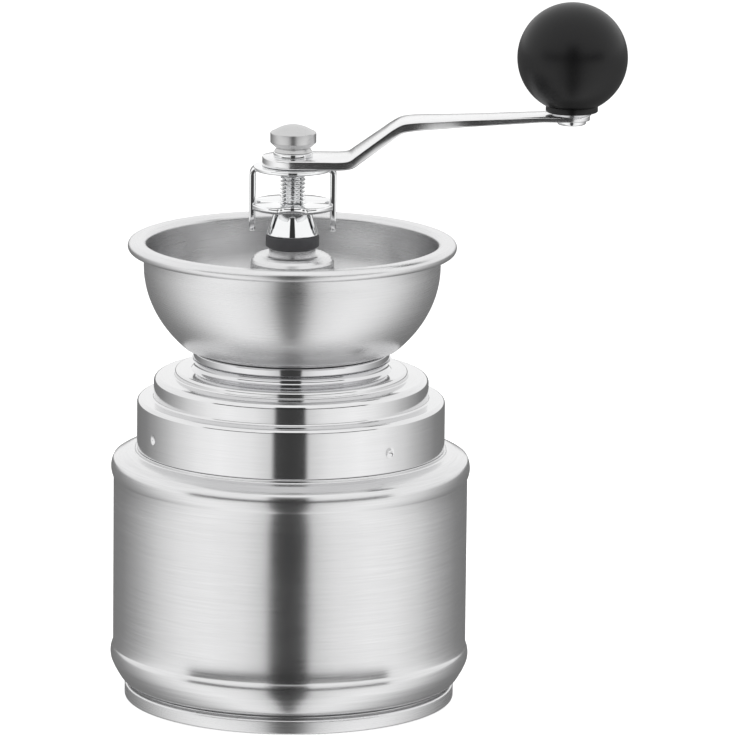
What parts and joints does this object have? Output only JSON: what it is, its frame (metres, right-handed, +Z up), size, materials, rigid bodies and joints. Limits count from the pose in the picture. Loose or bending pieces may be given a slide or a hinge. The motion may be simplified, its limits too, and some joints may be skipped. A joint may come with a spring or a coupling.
{
  "type": "hand crank coffee grinder",
  "caption": "Hand crank coffee grinder: steel canister, stepped lift-off head with an open bean bowl, ceramic burrs on a spindle, grind adjusting nut, cranked arm with a ball knob.",
  "frame": {"origin": "centre of the flat underside of the foot", "axes": "+Z up along the spindle, +X along the crank arm, -Y to the front"},
  "size_m": [0.1628, 0.1146, 0.2255],
  "materials": {
    "brushed_steel": "stainless sheet brushed round the axis",
    "polished_steel": "polished stainless sheet",
    "polished_ring": "polished",
    "chrome": "bright plating",
    "hardware_steel": "plain zinc plated steel",
    "ceramic": "unglazed white ceramic",
    "housing_plastic": "fine moulded grain",
    "dark_nylon": "satin",
    "black_knob": "satin gloss",
    "brass": "turned"
  },
  "bodies": {
    "canister": {"canister_shell": "brushed_steel", "canister_base": "polished_steel"},
    "head": {"head_cover": "brushed_steel", "neck_ring": "polished_ring", "hopper_bowl": "polished_steel", "bridge": "polished_steel", "upper_bush": "dark_nylon", "burr_housing": "housing_plastic", "outer_burr": "ceramic", "burr_retaining_ring": "hardware_steel", "lower_bridge": "hardware_steel", "lower_bush": "dark_nylon", "bridge_screws": "chrome", "bridge_nuts": "hardware_steel"},
    "rotor": {"spring_washer": "hardware_steel", "burr_spring": "hardware_steel"},
    "adjusting_nut": {"adjusting_nut": "chrome"},
    "spindle": {"spindle": "hardware_steel", "inner_burr": "ceramic", "burr_washer": "hardware_steel", "burr_lock_washer": "hardware_steel", "burr_nut": "hardware_steel", "crank_arm": "chrome", "cap_washer": "chrome", "cap_nut": "chrome", "knob_pin": "chrome", "knob_washer": "hardware_steel"},
    "stirrup": {"stirrup": "chrome"},
    "knob": {"knob": "black_knob", "knob_bush": "brass"}
  },
  "joints": [
    {"name": "head_lift", "type": "slide", "parent": "canister", "child": "head", "axis": [0, 0, 1], "range_m": [0, 0.05]},
    {"name": "crank_turn", "type": "hinge", "parent": "head", "child": "rotor", "pos_m": [0, 0, 0.15], "axis": [0, 0, 1], "continuous": true},
    {"name": "grind_adjust", "type": "hinge", "parent": "rotor", "child": "adjusting_nut", "pos_m": [0, 0, 0.155], "axis": [0, 0, 1], "range_deg": [-171, 361]},
    {"name": "spindle_lift", "type": "slide", "parent": "rotor", "child": "spindle", "axis": [0, 0, 1], "range_m": [-0.00125, 0.00059], "deforming": ["burr_spring"]},
    {"name": "stirrup_turn", "type": "hinge", "parent": "spindle", "child": "stirrup", "pos_m": [0, 0, 0.165], "axis": [0, 0, 1], "range_deg": [-171, 361]},
    {"name": "knob_spin", "type": "hinge", "parent": "spindle", "child": "knob", "pos_m": [0.088, 0, 0.2], "axis": [0, 0, 1], "continuous": true}
  ],
  "couplings": [
    {"joint": "grind_adjust", "follows": "spindle_lift", "rad_per_m": -5026.5},
    {"joint": "stirrup_turn", "follows": "spindle_lift", "rad_per_m": -5026.5}
  ]
}
